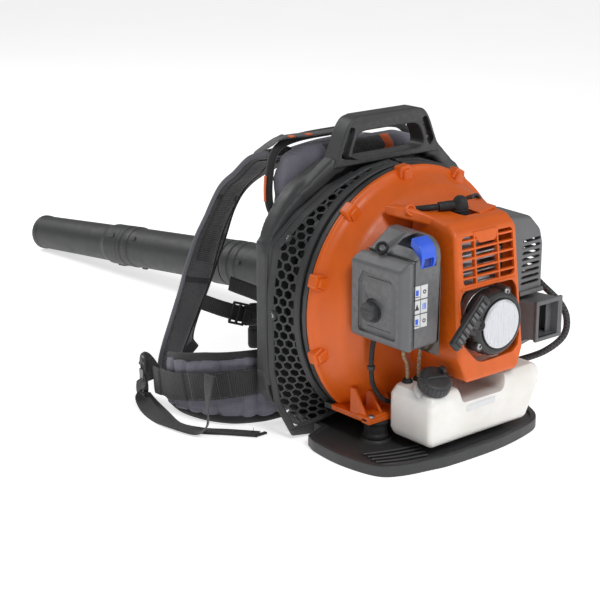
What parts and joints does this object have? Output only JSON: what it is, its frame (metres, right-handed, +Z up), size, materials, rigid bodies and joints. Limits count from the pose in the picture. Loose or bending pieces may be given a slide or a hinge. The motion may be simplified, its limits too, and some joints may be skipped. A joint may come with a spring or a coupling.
{
  "type": "backpack leaf blower",
  "caption": "Petrol backpack leaf blower: frame with harness, engine-driven fan, fuel tank and a pivoting blow tube with control handle.",
  "frame": {"origin": "on the floor under the foot plate, at the fan's axis in plan", "axes": "+Z up, +Y from the engine to the wearer and along the blow tube, +X the wearer's right"},
  "size_m": [0.5607, 1.4419, 0.47],
  "materials": {
    "orange_plastic": "satin moulded",
    "dark_grey_plastic": "fine moulded texture",
    "mid_grey_plastic": "satin moulded",
    "black_plastic": "satin moulded",
    "black_rubber": "matte",
    "cast_aluminium": "cast",
    "steel": "machined",
    "tank_plastic": "translucent blow moulded",
    "silver_badge": "satin foil",
    "blue_plastic": "satin moulded",
    "smoked_plastic": "smoked translucent",
    "filter_felt": "felt and foam",
    "fuel_hose": "translucent",
    "red_plastic": "satin moulded",
    "pad_fabric": "woven nylon",
    "strap_mesh": "spacer mesh",
    "webbing": "woven webbing"
  },
  "bodies": {
    "backpack_unit": {"backpack_frame": "dark_grey_plastic", "carry_handle": "black_plastic", "foot_plate": "dark_grey_plastic", "fan_housing_front": "orange_plastic", "fan_housing_rear": "dark_grey_plastic", "outlet_elbow": "black_plastic", "crankcase": "cast_aluminium", "cylinder": "cast_aluminium", "piston": "steel", "spark_plug": "steel", "spark_plug_boot": "black_rubber", "engine_shroud": "orange_plastic", "muffler": "steel", "muffler_cover": "mid_grey_plastic", "exhaust_outlet": "mid_grey_plastic", "starter_housing": "black_plastic", "starter_badge": "silver_badge", "filter_base": "mid_grey_plastic", "filter_cover": "mid_grey_plastic", "air_filter": "filter_felt", "heat_shield": "smoked_plastic", "carburettor": "cast_aluminium", "fuel_tank": "tank_plastic", "fuel_line": "fuel_hose", "return_line": "fuel_hose", "throttle_cable": "black_rubber", "control_conduit": "black_rubber", "bellows_rear": "black_rubber", "back_pad": "pad_fabric", "shoulder_strap_left": "strap_mesh", "shoulder_strap_right": "strap_mesh", "hip_belt": "pad_fabric", "belt_strap": "webbing", "hip_buckle": "black_plastic", "belt_tail": "webbing", "chest_strap": "webbing", "intake_guard_left": "dark_grey_plastic", "intake_guard_right": "dark_grey_plastic", "rubber_mount_left": "black_rubber", "rubber_mount_right": "black_rubber", "rubber_mount_upper_left": "black_rubber", "rubber_mount_upper_right": "black_rubber"},
    "crank": {"impeller": "black_plastic", "crankshaft": "steel"},
    "starter_grip": {"starter_grip": "black_plastic"},
    "starter_reel": {"starter_pulley": "black_plastic"},
    "choke": {"choke_lever": "blue_plastic"},
    "knob": {"cover_knob": "dark_grey_plastic"},
    "cap": {"fuel_cap": "dark_grey_plastic"},
    "primer": {"primer_bulb": "black_rubber"},
    "hose_middle": {"hose_ring": "dark_grey_plastic"},
    "tube": {"bellows_front": "black_rubber", "control_tube": "dark_grey_plastic", "middle_tube": "dark_grey_plastic", "control_handle": "black_plastic", "handle_cable": "black_rubber"},
    "nozzle": {"nozzle_tube": "dark_grey_plastic"},
    "trigger": {"throttle_trigger": "dark_grey_plastic"},
    "cruise": {"cruise_lever": "dark_grey_plastic"},
    "stop": {"stop_switch": "red_plastic"}
  },
  "joints": [
    {"name": "crank_spin", "type": "hinge", "parent": "backpack_unit", "child": "crank", "pos_m": [0, 0, 0.197], "axis": [0, 1, 0], "continuous": true},
    {"name": "starter_pull", "type": "slide", "parent": "backpack_unit", "child": "starter_grip", "axis": [0, -1, 0], "range_m": [0, 0.7], "stiffness_N_per_m": 10},
    {"name": "starter_reel_spin", "type": "hinge", "parent": "backpack_unit", "child": "starter_reel", "pos_m": [0, 0, 0.197], "axis": [0, 1, 0], "range_deg": [0, 1680]},
    {"name": "choke_swing", "type": "hinge", "parent": "backpack_unit", "child": "choke", "pos_m": [-0.116, -0.058, 0.308], "axis": [1, 0, 0], "range_deg": [-35, 0]},
    {"name": "knob_turn", "type": "hinge", "parent": "backpack_unit", "child": "knob", "pos_m": [-0.17, -0.024, 0.228], "axis": [-1, 0, 0], "range_deg": [0, 90]},
    {"name": "cap_turn", "type": "hinge", "parent": "backpack_unit", "child": "cap", "pos_m": [-0.091, -0.07, 0.103], "axis": [-0.1601, -0.5005, 0.8508], "continuous": true},
    {"name": "primer_press", "type": "slide", "parent": "backpack_unit", "child": "primer", "axis": [0, 0, 1], "range_m": [0, 0.004], "stiffness_N_per_m": 400},
    {"name": "tube_yaw", "type": "hinge", "parent": "backpack_unit", "child": "hose_middle", "pos_m": [0.18922, 0.229, 0.12412], "axis": [0, 0, 1], "range_deg": [-30, 2], "deforming": ["bellows_rear"]},
    {"name": "tube_pitch", "type": "hinge", "parent": "hose_middle", "child": "tube", "pos_m": [0.18922, 0.229, 0.12412], "axis": [1, 0, 0], "range_deg": [-25, 35], "deforming": ["bellows_front", "handle_cable"]},
    {"name": "nozzle_twist", "type": "hinge", "parent": "tube", "child": "nozzle", "pos_m": [0.12397, 1.012, 0.05887], "axis": [-0.0828, 0.9931, -0.0828], "range_deg": [-25, 0]},
    {"name": "trigger_pull", "type": "hinge", "parent": "tube", "child": "trigger", "pos_m": [0.17913, 0.366, 0.26003], "axis": [1, 0, 0], "range_deg": [-14, 0], "stiffness_Nm_per_rad": 0.3},
    {"name": "cruise_swing", "type": "hinge", "parent": "tube", "child": "cruise", "pos_m": [0.15913, 0.338, 0.27503], "axis": [1, 0, 0], "range_deg": [0, 55]},
    {"name": "stop_slide", "type": "slide", "parent": "tube", "child": "stop", "axis": [0, 1, 0], "range_m": [0, 0.008]}
  ],
  "couplings": [
    {"joint": "starter_reel_spin", "follows": "starter_pull", "rad_per_m": 41.667}
  ]
}
